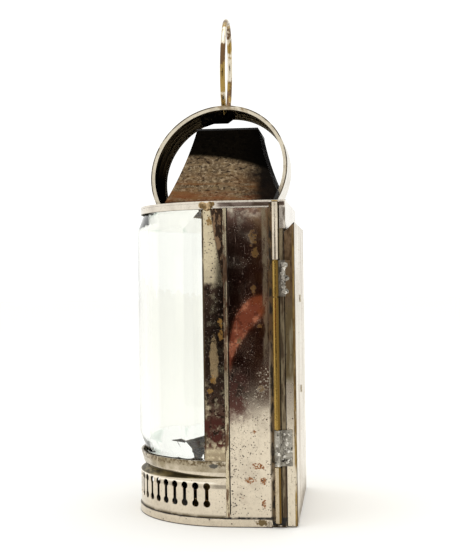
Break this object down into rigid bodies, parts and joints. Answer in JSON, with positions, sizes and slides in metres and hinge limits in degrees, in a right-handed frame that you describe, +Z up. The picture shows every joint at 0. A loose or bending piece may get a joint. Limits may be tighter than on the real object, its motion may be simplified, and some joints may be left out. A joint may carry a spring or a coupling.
{
  "type": "candle lantern",
  "caption": "Antique hand candle lantern: D-shaped plated case, bowed bevelled glass, pierced vent skirt, hooded flue under a heat strap, finger ring, hinged rear door and turn latch.",
  "frame": {"origin": "on the underside of the base, at the centre of the half-round front", "axes": "+Z up through the finger ring, -Y out through the glass, +Y out through the rear door, +X to the hinge side"},
  "size_m": [0.083, 0.0656, 0.1953],
  "materials": {
    "nickel_plate": "worn nickel plate over brass, brown tarnish and pits",
    "bare_brass": "plate worn through to dull brass",
    "smoked_brass": "heat-darkened and smoked, matt brown patina",
    "worn_ring": "drawn wire, plate worn in patches",
    "solder": "dull grey soft solder",
    "glass": "polished bowed plate glass with ground bevels, pale green edges",
    "wax": "tallow-coloured candle wax; stands in for wax",
    "cotton_wick": "charred braided cotton"
  },
  "bodies": {
    "case": {"base_pan": "nickel_plate", "vent_skirt": "nickel_plate", "side_wall_right": "nickel_plate", "side_wall_left": "nickel_plate", "stile_right": "nickel_plate", "stile_left": "nickel_plate", "door_frame": "nickel_plate", "crown_plate": "nickel_plate", "front_cornice": "nickel_plate", "flue_hood": "smoked_brass", "heat_strap": "nickel_plate", "finger_ring": "worn_ring", "ring_saddle": "smoked_brass", "bevelled_glass": "glass", "glass_clips": "bare_brass", "hinge_knuckle_foot": "nickel_plate", "hinge_knuckle_middle": "bare_brass", "hinge_knuckle_head": "nickel_plate", "hinge_pin": "bare_brass", "latch_stud": "bare_brass", "drip_pan": "bare_brass", "candle_cup": "bare_brass", "cup_rivet": "bare_brass"},
    "door": {"door_pan": "nickel_plate", "door_knuckle_lower": "solder", "door_knuckle_upper": "bare_brass", "door_solder": "solder", "reflector": "nickel_plate", "reflector_rivets": "bare_brass", "catch_pin": "bare_brass"},
    "latch": {"latch_hook": "nickel_plate"},
    "candle": {"candle": "wax", "wick": "cotton_wick"}
  },
  "joints": [
    {"name": "door_hinge", "type": "hinge", "parent": "case", "child": "door", "pos_m": [0.04, 0.018, 0.06], "axis": [0, 0, -1], "range_deg": [0, 170]},
    {"name": "latch_pivot", "type": "hinge", "parent": "case", "child": "latch", "pos_m": [-0.0392, 0.0095, 0.062], "axis": [-1, 0, 0], "range_deg": [0, 45]},
    {"name": "candle_lift", "type": "slide", "parent": "case", "child": "candle", "axis": [0, 0, 1], "range_m": [0, 0.018]}
  ]
}
